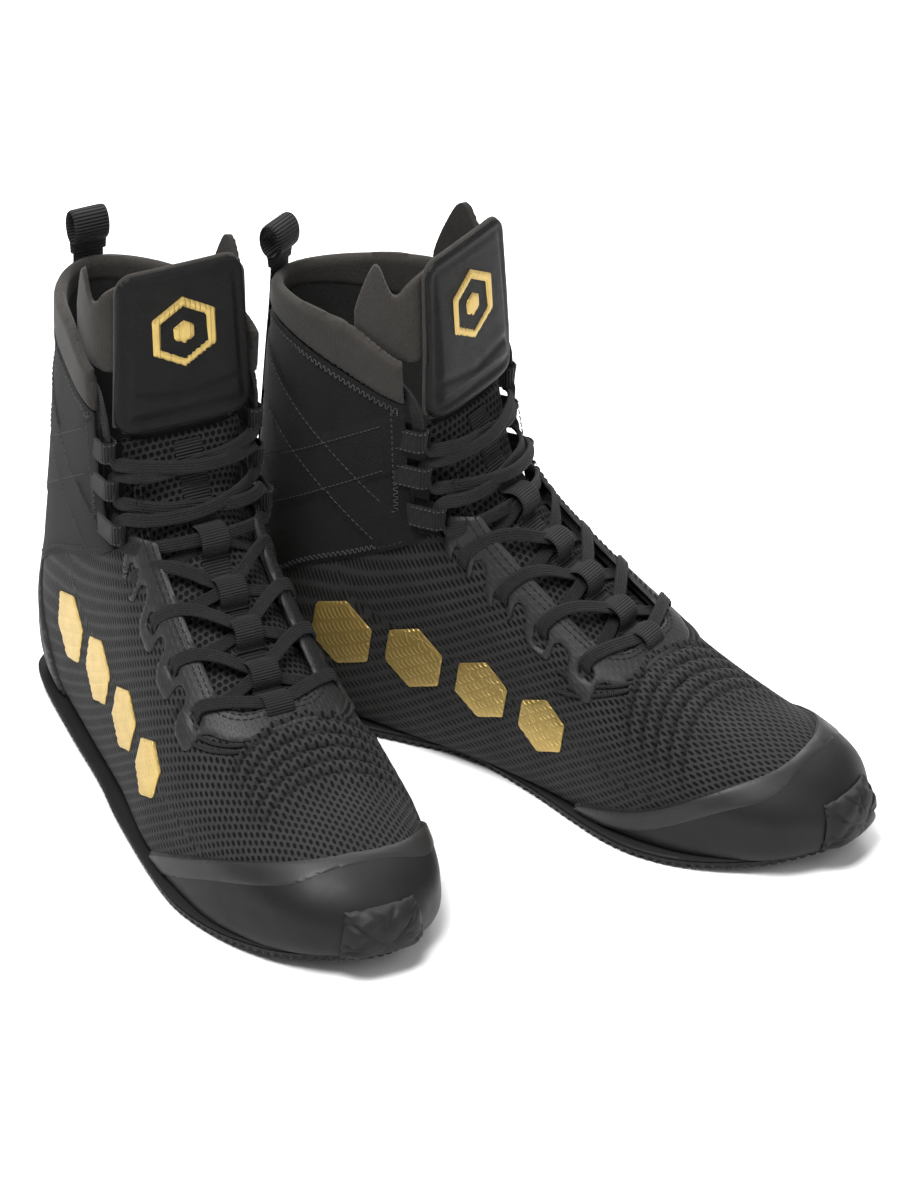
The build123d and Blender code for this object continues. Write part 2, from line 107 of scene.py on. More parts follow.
class Grid:
    """The boot's outer form as rows of points from the toe to the top, evenly spaced both ways."""

    def __init__(self, step, columns):
        table = np.linspace(-1.0, LAST, 60 * (LAST + 1) + 1)
        look = np.array([0.02, 1.57, 3.12])
        track = np.array([section_ring(p, look, 0) for p in table])
        moved = np.linalg.norm(np.diff(track, axis=0), axis=2).mean(1)
        walked = np.concatenate([[0], np.cumsum(moved)])
        self.places = np.interp(np.linspace(0, walked[-1], int(walked[-1] / step) + 1), walked, table)
        start, end = np.linspace(0, 0.1, 200)[:-1], np.linspace(pi - 0.1, pi, 200)[1:]
        half_turns = np.concatenate([start, np.linspace(0.1, pi - 0.1, 500), end])
        shares = np.linspace(-1, 1, columns + 1)
        self.turns, girth = [], []
        for place in self.places:
            ring = section_ring(max(place, 0), half_turns, 0)
            gone = np.concatenate([[0], np.cumsum(np.linalg.norm(np.diff(ring, axis=0), axis=1))])
            self.turns.append(np.sign(shares) * np.interp(np.abs(shares), gone / gone[-1], half_turns))
            girth.append(shares * gone[-1])
        self.rest = self.points(0)
        self.x, self.y, self.z = self.rest[..., 0], self.rest[..., 1], self.rest[..., 2]
        self.girth = np.array(girth)

    def points(self, grow):
        grow = np.broadcast_to(np.asarray(grow, float), (len(self.places), len(self.turns[0])))
        return np.stack([section_ring(p, t, g) for p, t, g in zip(self.places, self.turns, grow)])


BODY = Grid(1.45, 232)


def line(points, along):
    """Height of a smooth edge line at each place along it."""
    points = np.array(points, float)
    fine = np.linspace(0, len(points) - 1, 40 * len(points))
    low = np.minimum(fine.astype(int), len(points) - 2)
    part = (fine - low)[:, None]
    curve = through(*(points[np.clip(low + k, 0, len(points) - 1)] for k in (-1, 0, 1, 2)), part)
    return np.interp(along, curve[:, 0], curve[:, 1])


def both(*keeps):
    return np.minimum.reduce(keeps)


def either(*keeps):
    return np.maximum.reduce(keeps)


def soft_either(a, b, size):
    """The union of two regions with a filleted join."""
    near = np.maximum(size - np.abs(a - b), 0) / size
    return np.maximum(a, b) + near * near * size / 4


def ease(value):
    value = np.clip(value, 0, 1)
    return value * value * (3 - 2 * value)


def dome(distance, radius):
    """0 at an edge rising to 1 a radius inside it, like a quarter round."""
    inside = np.clip(distance / radius, 0, 1)
    return np.sqrt(np.clip(1 - (1 - inside) ** 2, 0, 1))


class Shape:
    """Points in mm in one boot's frame, faces, and fabric coordinates in mm."""

    def __init__(self, points, faces, weave, wear_and_shade=None):
        self.points, self.faces, self.weave = np.asarray(points, float), faces, np.asarray(weave, float)
        # Per point values: rubbed edges, and painted shade in the mesh upper's furrows.
        self.wear_and_shade = np.zeros(len(self.points)) if wear_and_shade is None else np.asarray(wear_and_shade, float)


def joined(*shapes):
    points, faces, weave, wear_and_shade, count = [], [], [], [], 0
    for shape in shapes:
        points.append(shape.points)
        weave.append(shape.weave)
        wear_and_shade.append(shape.wear_and_shade)
        faces += [[k + count for k in face] for face in shape.faces]
        count += len(shape.points)
    return Shape(np.concatenate(points), faces, np.concatenate(weave), np.concatenate(wear_and_shade))


def clip(keep):
    """Quads of the grid trimmed to where keep is above zero: corners as blended grid points, and faces."""
    columns = keep.shape[1]
    inside = keep > 0
    touched = inside[:-1, :-1] | inside[1:, :-1] | inside[:-1, 1:] | inside[1:, 1:]
    corners, faces, known = [], [], {}

    def corner(key, ends):
        if key not in known:
            known[key] = len(corners)
            corners.append(ends)
        return known[key]

    def name(cell):
        return (0, 0) if cell[0] == 0 else (cell[0], cell[1] % (columns - 1))

    for i, j in np.argwhere(touched):
        i, j = int(i), int(j)
        cell = [(i, j), (i + 1, j), (i + 1, j + 1), (i, j + 1)]
        whole = all(inside[c] for c in cell)
        for pick in ((0, 1, 2, 3),) if whole else ((0, 1, 2), (0, 2, 3)):
            ring = [cell[k] for k in pick]
            face = []
            for a, b in zip(ring, ring[1:] + ring[:1]):
                if inside[a]:
                    k = corner(name(a), (*a, *a, 0.0))
                    if k not in face:
                        face.append(k)
                if inside[a] != inside[b]:
                    if name(a) > name(b):
                        a, b = b, a
                    share = min(max(keep[a] / (keep[a] - keep[b]), 0.04), 0.96)
                    face.append(corner((name(a), name(b)), (*a, *b, share)))
            if len(face) > 2:
                faces.append(face)
    return np.array(corners), faces


def wall(keep, outer, inner, edge_wear_and_shade=2.5, fabric=None):
    """A closed panel between two offsets of the form, trimmed to where keep (mm inside the edge) is above 0.

    The fourth argument is how far in the rubbed edge reaches, or the values themselves over the whole grid,
    such as the painted shade along the mesh upper's furrows."""
    corners, faces = clip(keep)
    ends = corners[:, :4].astype(int)
    share = corners[:, 4]

    def at(values):
        first, second = values[ends[:, 0], ends[:, 1]], values[ends[:, 2], ends[:, 3]]
        part = share if values.ndim == 2 else share[:, None]
        return first * (1 - part) + second * part

    top, low = at(BODY.points(outer)), at(BODY.points(inner))
    # Per point: lighter rubbed edges, or given values such as the painted furrow shade.
    edge = at(edge_wear_and_shade) if np.ndim(edge_wear_and_shade) else np.exp(-np.maximum(at(keep), 0) / edge_wear_and_shade)
    weave = np.stack([at(coordinate) for coordinate in fabric or (BODY.x, BODY.girth, BODY.z)], -1)
    count = len(corners)
    edges = {(a, b) for face in faces for a, b in zip(face, face[1:] + face[:1])}
    closed = list(faces) + [[k + count for k in face[::-1]] for face in faces]
    closed += [[b, a, a + count, b + count] for a, b in edges if (b, a) not in edges]
    doubled = [np.concatenate([part, part]) for part in (weave, edge)]
    return Shape(np.concatenate([top, low]), closed, *doubled)


def smooth_path(points, rounds=3):
    """Corner cutting, which rounds a path as a fillet would; a round doubles the number of points."""
    points = np.array(points, float)
    for _ in range(rounds):
        after, before = points[1:], points[:-1]
        cut = np.stack([before * 0.75 + after * 0.25, before * 0.25 + after * 0.75], 1)
        points = np.concatenate([points[:1], cut.reshape(-1, points.shape[1]), points[-1:]])
    return points


def sweep(path, across, profile):
    """A profile (across, out) carried along a path; across gives its sideways direction at each point."""
    path, across = np.asarray(path, float), np.asarray(across, float)
    tangent = np.gradient(path, axis=0)
    tangent /= np.linalg.norm(tangent, axis=1)[:, None]
    across = across - tangent * np.sum(across * tangent, 1)[:, None]
    across /= np.linalg.norm(across, axis=1)[:, None]
    out = np.cross(across, tangent)
    profile = np.asarray(profile, float)
    count, size = len(path), len(profile)
    points = path[:, None] + across[:, None] * profile[None, :, :1] + out[:, None] * profile[None, :, 1:]
    gone = np.concatenate([[0], np.cumsum(np.linalg.norm(np.diff(path, axis=0), axis=1))])
    weave = np.zeros((count, size, 3))
    weave[..., 0], weave[..., 1], weave[..., 2] = gone[:, None], profile[None, :, 0], profile[None, :, 1]
    faces = []
    for i in range(count - 1):
        for k in range(size):
            after = (k + 1) % size
            faces.append([i * size + k, i * size + after, (i + 1) * size + after, (i + 1) * size + k])
    faces += [list(range(size))[::-1], [(count - 1) * size + k for k in range(size)]]
    return Shape(points.reshape(-1, 3), faces, weave.reshape(-1, 3))


def round_profile(radius, sides=6):
    return [(radius * cos(2 * pi * k / sides), radius * sin(2 * pi * k / sides)) for k in range(sides)]


def ribbon_profile(half, thick, ribs=0, depth=0.0, across=24):
    """A flat strap's section with rounded edges, and ribs along it."""
    spots = np.linspace(-1, 1, across)
    top = thick / 2 * (1 - spots**8) ** 0.5
    if ribs:
        top = top * (1 - depth * (0.5 + 0.5 * np.cos(spots * pi * ribs)) * (1 - spots**8))
    upper = [(half * s, t) for s, t in zip(spots, top)]
    lower = [(half * s, -t) for s, t in zip(spots, top)][::-1]
    return upper + lower[1:-1]


def locate(first, second, parts, side=0, front=-99):
    """Grid places (row, column) where two of the coordinates x, y, z take the given values."""
    a, b = (BODY.rest[..., "xyz".index(p)] for p in parts)
    open_to = BODY.girth * side > -1 if side else np.abs(BODY.turns) < 1.75
    open_to = open_to & (BODY.x > front)
    spots = []
    for u, w in zip(first, second):
        far = (a - u) ** 2 + (b - w) ** 2 + np.where(open_to, 0, 1e9)
        i, j = np.unravel_index(np.argmin(far), far.shape)
        i, j = min(max(i, 1), a.shape[0] - 2), min(max(j, 1), a.shape[1] - 2)
        jac = np.array([[a[i + 1, j] - a[i - 1, j], a[i, j + 1] - a[i, j - 1]],
                        [b[i + 1, j] - b[i - 1, j], b[i, j + 1] - b[i, j - 1]]]) / 2
        step = np.linalg.lstsq(jac, np.array([u - a[i, j], w - b[i, j]]), rcond=None)[0]
        spots.append((i + np.clip(step[0], -0.7, 0.7), j + np.clip(step[1], -0.7, 0.7)))
    return np.array(spots)


def on_form(spots, grow):
    """Points on the form at fractional grid places, with the outward direction there."""
    layers = []
    for level in (BODY_AT[0], BODY_AT[1]):
        i = np.clip(spots[:, 0].astype(int), 0, level.shape[0] - 2)
        j = np.clip(spots[:, 1].astype(int), 0, level.shape[1] - 2)
        s, t = (spots[:, 0] - i)[:, None], (spots[:, 1] - j)[:, None]
        near = level[i, j] * (1 - s) + level[i + 1, j] * s
        far = level[i, j + 1] * (1 - s) + level[i + 1, j + 1] * s
        layers.append(near * (1 - t) + far * t)
    out = layers[1] - layers[0]
    return layers[0] + out * grow, out / np.linalg.norm(out, axis=1)[:, None]


BODY_AT = (BODY.rest, BODY.points(1.0))


def walk(path, step):
    """Points spaced evenly along a path."""
    path = np.asarray(path, float)
    gone = np.concatenate([[0], np.cumsum(np.linalg.norm(np.diff(path, axis=0), axis=1))])
    marks = np.linspace(0, gone[-1], max(2, int(gone[-1] / step) + 1))
    return np.stack([np.interp(marks, gone, path[:, k]) for k in range(path.shape[1])], -1)


def stitches(path, out, length=2.2, gap=1.0, radius=0.28):
    """A row of raised stitches along a path, each dipping in at its ends."""
    made = []
    joint = np.concatenate([path, out], 1)
    even = walk(joint, 0.25)
    size, pitch = int(length / 0.25), int((length + gap) / 0.25)
    for start in range(0, len(even) - size, pitch):
        piece = even[start:start + size + 1:2]
        lift = np.sin(np.linspace(0, pi, len(piece)))[:, None] * 0.35
        aside = np.cross(piece[:, 3:], np.gradient(piece[:, :3], axis=0))
        made.append(sweep(piece[:, :3] + piece[:, 3:] * (lift - 0.12), aside, round_profile(radius, 5)))
    return joined(*made)


def zigzag(path, out, reach=1.7, pitch=2.6, radius=0.24):
    """A zigzag seam along a path."""
    joint = walk(np.concatenate([path, out], 1), pitch / 2)
    heading = np.gradient(joint[:, :3], axis=0)
    aside = np.cross(joint[:, 3:], heading)
    aside /= np.linalg.norm(aside, axis=1)[:, None]
    sign = np.where(np.arange(len(joint)) % 2 == 0, 1, -1)[:, None]
    points = smooth_path(joint[:, :3] + aside * sign * reach + joint[:, 3:] * 0.12, 1)
    return sweep(points, smooth_path(joint[:, 3:], 1), round_profile(radius, 5))


def toe_spring(x):
    """How far the sole has risen off the floor at x."""
    return 7.6 * np.clip((x - 212) / 72, 0, 2) ** 2


# ---------------------------------------------------------------- regions of the form
X, Y, Z, GIRTH = BODY.x, BODY.y, BODY.z, BODY.girth
SPRING = toe_spring(X)
THROAT_HALF, THROAT_END = 20.5, 188
WRAP_LOW = [(-10, 40), (23, 54), (48, 71), (74, 84), (100, 98), (114, 110)]
COLLAR_LOW = [(-10, 171), (40, 169), (75, 164), (120, 156)]
COLLAR_TOP = [(-10, 181), (16, 182), (65, 187), (97, 179), (120, 171)]
INSTEP_FLOOR = [(90, 92), (118, 80), (139, 72), (158, 63), (180, 54), (194, 48)]
EYELETS = [(120, 94.0), (139, 84.5), (158, 76.0), (179, 68.5)]


def across_throat():
    """Distance from the centre line: straight across the throat, then along the skin beyond its edge."""
    across = np.abs(Y).copy()
    for i in range(across.shape[0]):
        half = across.shape[1] // 2
        row, girth = across[i, half:], GIRTH[i, half:]
        widest = int(np.argmax(row))
        if row[widest] > THROAT_HALF:
            start = np.interp(THROAT_HALF, row[:widest + 1], girth[:widest + 1])
            beyond = np.abs(GIRTH[i]) > start
            across[i, beyond] = THROAT_HALF + np.abs(GIRTH[i, beyond]) - start
    return across


ACROSS = across_throat()


def slot(half_width, end, corner):
    """Distance outside a slot along the instep, rounded at its front."""
    side, ahead = ACROSS - half_width + corner, X - end + corner
    outside = np.hypot(np.maximum(side, 0), np.maximum(ahead, 0))
    return outside + np.minimum(np.maximum(side, ahead), 0) - corner


def rounded_box(along, across, half_long, half_wide, corner):
    """Distance inside a rounded rectangle."""
    a, b = np.abs(along) - half_long + corner, np.abs(across) - half_wide + corner
    return corner - np.hypot(np.maximum(a, 0), np.maximum(b, 0)) - np.minimum(np.maximum(a, b), 0)


def clear_of_throat(half_width):
    instep = either(slot(half_width, THROAT_END, 14), line(INSTEP_FLOOR, X) - Z, 80 - X)
    return both(instep, either(np.interp(Z, [103, 128], [101.5, 97.5]) - X, 103 - Z))


def hexagon(along, up, radius, turn):
    sides = [radians(turn + 30 + 60 * k) for k in range(6)]
    return radius * cos(pi / 6) - np.maximum.reduce([along * cos(a) + up * sin(a) for a in sides])


# Distance travelled up the front of the form, row by row.
middle = BODY.rest[:, BODY.rest.shape[1] // 2]
climbed = np.concatenate([[0], np.cumsum(np.linalg.norm(np.diff(middle, axis=0), axis=1))])
ALONG = np.broadcast_to(climbed[:, None], GIRTH.shape)
shapes = {}
ABOVE_SOLE = Z - 4.5 - SPRING

# Knit mesh forefoot and quarters, with pleats across the vamp and painted shade along their furrows.
PLEAT = 6.2
fold = X - 0.008 * Y**2 - 0.12 * Y - 197
fade = ease((38 - np.abs(Y + 6)) / 12) * ease((34 - fold) / 12) * (fold > -3) * (Z > 26)
rolls = np.sqrt(np.clip(1 - (2 * np.mod(fold / PLEAT, 1) - 1) ** 2, 0, 1)) * fade
to_furrow = PLEAT / 2 - np.abs(np.mod(fold, PLEAT) - PLEAT / 2)
# Painted shade: a dark line along each pleat's furrow, put into the knit's colour.
furrow_shade = np.exp(-(to_furrow / 1.15) ** 2) * fade
UPPER_LOW = line(WRAP_LOW, X) - Z
UPPER = both(ABOVE_SOLE, UPPER_LOW, clear_of_throat(26))
# The fourth argument carries the painted furrow shade to the knit's colour.
shapes["mesh_upper"] = wall(UPPER, 2.3 * rolls, -1.4, 0.85 * furrow_shade)

# Moulded toe cap with a film band along its edge, and a moulded heel counter with a groove.
cap_outer = line([(150, -30), (171, 0), (176, 8), (218, 27), (250, 38), (261, 42), (268, 50), (290, 60)], X)
cap_inner = line([(150, -30), (176, 0), (182, 10), (214, 20), (246, 35), (263, 41), (269, 50), (290, 60)], X)
side_share = ease((Y + 22) / 44)
CAP = (cap_outer * side_share + cap_inner * (1 - side_share) - Z) * 0.92
shapes["toe_cap"] = wall(both(ABOVE_SOLE, CAP, X - 172), 0.2 + 1.3 * dome(CAP, 1.8), 0.05)
BAND = both(ABOVE_SOLE - 1, CAP - 0.5, 7.5 - CAP, X - 174)
shapes["toe_band"] = wall(BAND, 1.45 + 0.5 * dome(BAND, 0.8), 1.3)
COUNTER_EDGE = [(0, 53), (16, 44), (36, 28), (50, 20), (72, 14), (92, 4)]
COUNTER = both(ABOVE_SOLE, (line(COUNTER_EDGE, Z) - X) * 0.8, 90 - Z)
groove = np.exp(-((COUNTER - 6.5) / 1.1) ** 2) * ease((ABOVE_SOLE - 8) / 3)
shapes["heel_counter"] = wall(COUNTER, 0.4 + 1.5 * dome(COUNTER, 2.2) - 0.8 * groove, 0.05)

# Film eyestay: a strip round the throat, a tab at each slit.
SLOT = slot(THROAT_HALF, THROAT_END, 12)
stay = 10.5 - SLOT
for slit_x, _ in EYELETS:
    stay = soft_either(stay, rounded_box(X - slit_x + 1, ACROSS - 33, 6.4, 9.5, 4.5), 5)
STAY = both(stay, SLOT, X - 107, 112 - Z, Z - line(INSTEP_FLOOR, X))
for slit_x, _ in EYELETS:
    STAY = both(STAY, -rounded_box(X - slit_x, np.abs(Y) - 29.5, 3.4, 1.5, 1.4))
shapes["eyestay"] = wall(STAY, 0.25 + 1.2 * dome(STAY, 1.1), 0.05, 1.6)


def throat_path(away, back=112):
    """Places (x, y) round the throat at a distance from its edge."""
    turn = np.linspace(pi / 2, 0, 14)
    bend = [(176 + (12 + away) * cos(a), 8.5 + (12 + away) * sin(a)) for a in turn]
    half = [(x, 20.5 + away) for x in np.arange(back, 176, 2.0)] + bend
    return np.array(half + [(x, -y) for x, y in half[::-1]])


def laid(path, parts, side, grow, front=-99):
    """A path laid on the form, with the outward direction along it."""
    spots = locate(path[:, 0], path[:, 1], parts, side, front)
    return on_form(spots, grow)


seams = [stitches(*laid(throat_path(away), "xy", 0, 1.45), 2.0, 0.9, 0.26) for away in (1.5, 3.3)]
shapes["eyestay_stitching"] = joined(*seams)
bars = []
for away in (12.0, 14.2):
    path, out = laid(throat_path(away, 168), "xy", 0, 0.5)
    path = smooth_path(path, 1)
    aside = smooth_path(np.cross(out, np.gradient(path[::2], axis=0)), 1)
    bars.append(sweep(path, aside, round_profile(0.85, 8)))
shapes["throat_bars"] = joined(*bars)

# Side patches: a row of hexagons, smaller towards the toe.
HEXAGONS = [(66, 47, 15.5), (100, 46, 14.5), (132, 42, 13.5), (162, 37, 12.5)]
ROW = either(*[hexagon(X - x, Z - z, radius, 20) for x, z, radius in HEXAGONS])
for name, side in (("outer_patches", 1), ("inner_patches", -1)):
    keep = both(ROW, side * Y - 15)
    shapes[name] = wall(keep, 0.12 + 0.6 * dome(keep, 0.7), 0.03, 1.2)

# Elastic ankle wrap with two crossing bands and zigzag seams.
FRONT = clear_of_throat(26)
WRAP = both(-UPPER_LOW, line(COLLAR_LOW, X) - Z, FRONT)
CROSS_X, CROSS_Z, CROSS_SLOPE = 58, 120, 0.62
bands = either(*[11 - np.abs(Z - CROSS_Z + slope * (X - CROSS_X)) * 0.85
                 for slope in (CROSS_SLOPE, -CROSS_SLOPE)])
shapes["ankle_wrap"] = wall(WRAP, 0.1 + 0.5 * dome(WRAP, 1.2) + 0.55 * dome(bands, 1.0), -1.4)
seams = []
for side in (1, -1):
    for edge, away in ((WRAP_LOW, 3.2), (COLLAR_LOW, -3.4)):
        along = np.arange(20, 96, 1.5)
        seams.append(zigzag(*laid(np.stack([along, line(edge, along) + away], 1), "xz", side, 0.75)))
    up = np.arange(110, 157, 1.5)
    seams.append(zigzag(*laid(np.stack([np.full(len(up), 92.5), up], 1), "xz", side, 0.75)))
    for slope in (CROSS_SLOPE, -CROSS_SLOPE):
        for away in (10.2, -10.2):
            along = np.arange(24, 88, 1.5)
            height = CROSS_Z + slope * (along - CROSS_X) + away
            fits = (height > line(WRAP_LOW, along) + 6) & (height < line(COLLAR_LOW, along) - 6)
            if fits.sum() > 8:
                path = laid(np.stack([along, height], 1)[fits], "xz", side, 1.15)
                seams.append(stitches(*path, 1.6, 0.9, 0.2))
shapes["wrap_seams"] = joined(*seams)

# Padded collar rolled over the lining's top edge.
COLLAR = both(Z - line(COLLAR_LOW, X), line(COLLAR_TOP, X) - Z, FRONT)
puff = dome(COLLAR, 3.6)
shapes["collar"] = wall(COLLAR, -1.3 + 2.7 * puff, -1.5 - 2.2 * puff, 1.5)
shapes["lining"] = wall(both(ABOVE_SOLE - 0.5, line(COLLAR_TOP, X) - 4 - Z, FRONT), -1.6, -3.3)

# Tongue of open mesh with a webbing strip, and its padded top.
TONGUE_LOW = [(88, 120), (120, 78), (150, 62), (180, 48), (196, 44)]
TONGUE = both(29 - np.abs(Y), Z - line(TONGUE_LOW, X), 150.8 - Z, 196 - X, X - 88)
shapes["tongue"] = wall(TONGUE, -5.4 + 0.8 * dome(TONGUE, 1.6), -7.2, fabric=(GIRTH, ALONG, Z))
STRIP = both(6.5 - np.abs(Y), Z - line(TONGUE_LOW, X) - 4, 148 - Z, 194 - X, X - 92)
shapes["tongue_webbing"] = wall(STRIP, -4.4 + 0.55 * dome(STRIP, 0.6), -4.5, 1.0, (ALONG, GIRTH, Z))


def pad_half(height):
    """Half the width of the padded top, which narrows as it rises."""
    return 30 - (height - 153) * 0.045


sideways = pad_half(Z) - np.abs(Y)
upright = both(Z - 153, 219 - Z)
in_corner = (sideways < 7) & (upright < 7)
PAD = np.where(in_corner, 7 - np.hypot(7 - sideways, 7 - upright), both(sideways, upright))
PAD = both(PAD, X - 98.5)
ridge = np.exp(-((PAD - 8.5) / 2.2) ** 2) - 0.7 * np.exp(-((PAD - 4.6) / 1.5) ** 2)
crease = np.exp(-((Z - 164 - 0.16 * np.abs(Y)) / 2.0) ** 2) * ease((PAD - 5) / 3)
pad_face = -1.4 + 1.9 * dome(PAD, 2.2) + 0.9 * ridge - 0.8 * crease + 0.3 * ease((PAD - 6) / 8)
shapes["tongue_top"] = wall(PAD, pad_face, -3.4, 1.5, (GIRTH, ALONG, X))
rise = np.arange(156, 213, 1.5)
edge = [(y, z) for y, z in zip(pad_half(rise) - 0.3, rise)]
edge += [(20.1 + 6.6 * cos(a), 212.1 + 6.6 * sin(a)) for a in np.linspace(0.15, pi / 2, 8)]
edge += [(y, 218.7) for y in np.arange(18, 0, -2.0)]
edge = np.array(edge + [(-y, z) for y, z in edge[::-1]])
path, out = laid(edge, "yz", 0, -1.9, 97)
path, out = smooth_path(path, 1), smooth_path(out, 1)
shapes["tongue_piping"] = sweep(path, out, round_profile(1.25, 8))
WING_TOP = [(70, 187), (75, 200), (80, 210), (84, 215.5), (87.5, 215), (91, 209), (94, 205.5), (97, 206),
            (100, 210), (106, 217)]
BEHIND = either(both(Z - 178, X - 72), both(Z - 153, X - 98, 28.5 - np.abs(Y)))
WING = both(BEHIND, line(WING_TOP, X) - Z)
shapes["tongue_wings"] = wall(WING, -4.6 + 0.9 * dome(WING, 1.0), -6.0, 1.2, (GIRTH, ALONG, X))
outer_ring, inner_ring, centre = (hexagon(Y, Z - 192, radius, 30) for radius in (15, 11, 5))
EMBLEM = both(either(both(outer_ring, -inner_ring), centre), X - 97.5)
shapes["tongue_emblem"] = wall(EMBLEM, 0.9 + 0.75 * dome(EMBLEM, 0.8), 0.2, 1.0)
BRIDGE = both(26 - np.abs(Y), Z - 144, 160 - Z, X - 96)
shapes["tongue_fold"] = wall(BRIDGE, -7.3, -8.0)

# Webbing loops that hold the crossing laces on the tongue.
KEEPERS = [(188, 68.2, 34), (175.5, 76, 36), (160.5, 87, 37), (146.5, 98, 40), (130.5, 112.8, 50)]
ARCH = [(-8, 0.2), (-6.2, 0.3), (-5.3, 3.2), (-3.2, 6.1), (0, 6.9), (3.2, 6.1), (5.3, 3.2), (6.2, 0.3),
        (8, 0.2)]
made = []
for x, z, slope in KEEPERS:
    a = radians(slope)
    along, outward = np.array((-cos(a), 0, sin(a))), np.array((sin(a), 0, cos(a)))
    path = np.array([(x, 0, z) + along * s + outward * (h - 3.3) for s, h in ARCH])
    path = walk(smooth_path(path, 2), 0.5)
    made.append(sweep(path, np.tile((0, 1, 0), (len(path), 1)), ribbon_profile(6, 1.1)))
shapes["lace_keepers"] = joined(*made)

# Folded straps on the shaft's front edges, with a stitched line along both borders.
STRAPS = [(111, 31.5, 113), (104, 31.0, 129), (102.7, 31.5, 145)]
made, seams = [], []
for x, y, z in STRAPS:
    for side in (1, -1):
        bend = [(x + 2.7 * sin(a), side * y + 2.7 * cos(a), z) for a in np.linspace(0, pi, 12)]
        path = np.array([(x - 12, side * y + 2.7, z - 1)] + bend + [(x - 12, side * y - 2.7, z - 1)])
        path = walk(path, 0.6)
        up = np.tile((0.12, 0, 1.0), (len(path), 1))
        made.append(sweep(path, up, ribbon_profile(5, 1.0)))
        out = np.cross(up, np.gradient(path, axis=0))
        outward = np.sign(np.sum(out * (path - (x - 5, side * y, z)), 1))
        out /= (np.linalg.norm(out, axis=1) * outward)[:, None]
        for away in (4.0, -4.0):
            seams.append(stitches(path + (0.12 * away, 0, away) + out * 0.5, out, 1.4, 0.8, 0.2))
shapes["strap_loops"] = joined(*made)
shapes["strap_stitching"] = joined(*seams)

# The lace: a flat ribbed braid along the same route as the CAD tube.
LACE_HALF = [
    (184, 17, 71.8), (178.5, 29.5, 70.3), (178, 29.5, 63.4), (177.5, 25.5, 64), (178, 18, 67.6),
    (176.1, 0, 76.8), (165, -18.5, 84.6), (158.5, -29.5, 80.3), (158, -29.5, 73.5), (159, -25.5, 74.8),
    (160.2, -18.5, 79.4), (161.1, 0, 87.7), (148.5, 18.5, 96.4), (140, 29.5, 89.7), (139.4, 29.5, 82.8),
    (140.3, 25.5, 84.6), (143.3, 18.5, 91), (147.1, 0, 98.8), (134, -19, 108), (121.6, -29.5, 99.5),
    (120.8, -29.5, 92.6), (122.8, -25.8, 95.6), (128, -18.5, 102.6), (131.2, 0, 113.6), (128.2, 15, 112),
    (120.5, 26, 108.8), (111.5, 31.5, 106.5), (110.8, 31.5, 119.3), (118.8, 25, 120.2), (123.4, 14, 121),
    (125.3, 0, 122.3), (120.8, -15, 124), (113.4, -25, 124.3), (104.5, -31, 123.3), (103.8, -31, 135.4),
    (110.4, -25, 135.4), (114.8, -14, 136), (117.4, 0, 137.6), (113.8, 15, 139.3), (109, 25, 139.8),
    (103, 31.5, 139.5), (102.4, 31.5, 151), (101.6, 32, 157), (98.5, 31.5, 162), (93, 30.2, 165),
    (86, 29.5, 165.5),
]
LACE_UNDER = {76.8: (174.5, 0, 74.5), 87.7: (159.3, 0, 85.4), 98.8: (145.3, 0, 96.5),
              113.6: (128.9, 0, 111.7), 122.3: (122.1, 0, 122.9), 137.6: (114.1, 0, 138)}
LACE_BAR = (188.4, 0, 68.9)
other = [LACE_UNDER.get(z, (x, -y, z)) if y == 0 else (x, -y, z) for x, y, z in LACE_HALF]
ROUTE = np.array(other[::-1] + [LACE_BAR] + LACE_HALF, float)


def lace_width(point):
    x, y, z = point
    if x < 99:
        return (0, 0, 1)
    if abs(y) > 30.5 and z > 104:
        return (1, 0, 0)
    return (0.82, 0, -0.57) if z < 108 else (0.3, 0, -0.95)


joint = smooth_path(np.concatenate([ROUTE, np.array([lace_width(p) for p in ROUTE])], 1), 3)
joint = walk(joint, 0.8)
shapes["lace"] = sweep(joint[:, :3], joint[:, 3:], ribbon_profile(2.7, 1.8, 5, 0.3, 26))

# Heel strip and pull loop.
back = np.array([section_ring(p, np.array([pi]), 0.9)[0] for p in np.linspace(10.4, 14.13, 60)])
shapes["heel_strip"] = sweep(back, np.tile((0, 1, 0), (60, 1)), ribbon_profile(6.5, 1.0))
turn = np.linspace(radians(-78), radians(258), 60)
loop = np.stack([16.5 + 4.5 * np.cos(turn), 0 * turn, 195.9 + 6.8 * np.sin(turn)], -1)
loop = np.concatenate([[(16.9, 0, 184.6)], loop, [(16.1, 0, 184.6)]])
loop = walk(smooth_path(loop, 1), 0.5)
shapes["pull_loop"] = sweep(loop, np.tile((0, 1, 0), (len(loop), 1)), ribbon_profile(7.5, 1.25))

# Rubber outsole with notched tread, and its toe bumper.
LATERAL = [(12, 25), (30, 33.5), (75, 40.5), (107, 44.5), (140, 50), (190, 54.9), (217, 53.2), (245, 44),
           (268, 28)]
MEDIAL = [(268, -26), (245, -41), (221, -48), (195, -46.5), (150, -32), (118, -25), (93, -28.5), (50, -34),
          (12, -25)]
knots = np.array([(0, 0)] + LATERAL + [(284, 0)] + MEDIAL, float)
ring = []
for k in range(len(knots)):
    near = [knots[(k + d) % len(knots)] for d in (-1, 0, 1, 2)]
    ring += [through(*near, part) for part in np.linspace(0, 1, 60, endpoint=False)]
ring = walk(np.array(ring + ring[:1]), 0.8)[:-1]
ahead = np.roll(ring, -1, 0) - np.roll(ring, 1, 0)
ahead /= np.linalg.norm(ahead, axis=1)[:, None]
aside = np.stack([ahead[:, 1], -ahead[:, 0]], -1)
gone = np.arange(len(ring)) * 0.8
notch = ((gone % 4.0) < 1.6).astype(float)
heel_inset = np.interp(ring[:, :1], [120, 190, 260], [3.2, 1.8, 0])
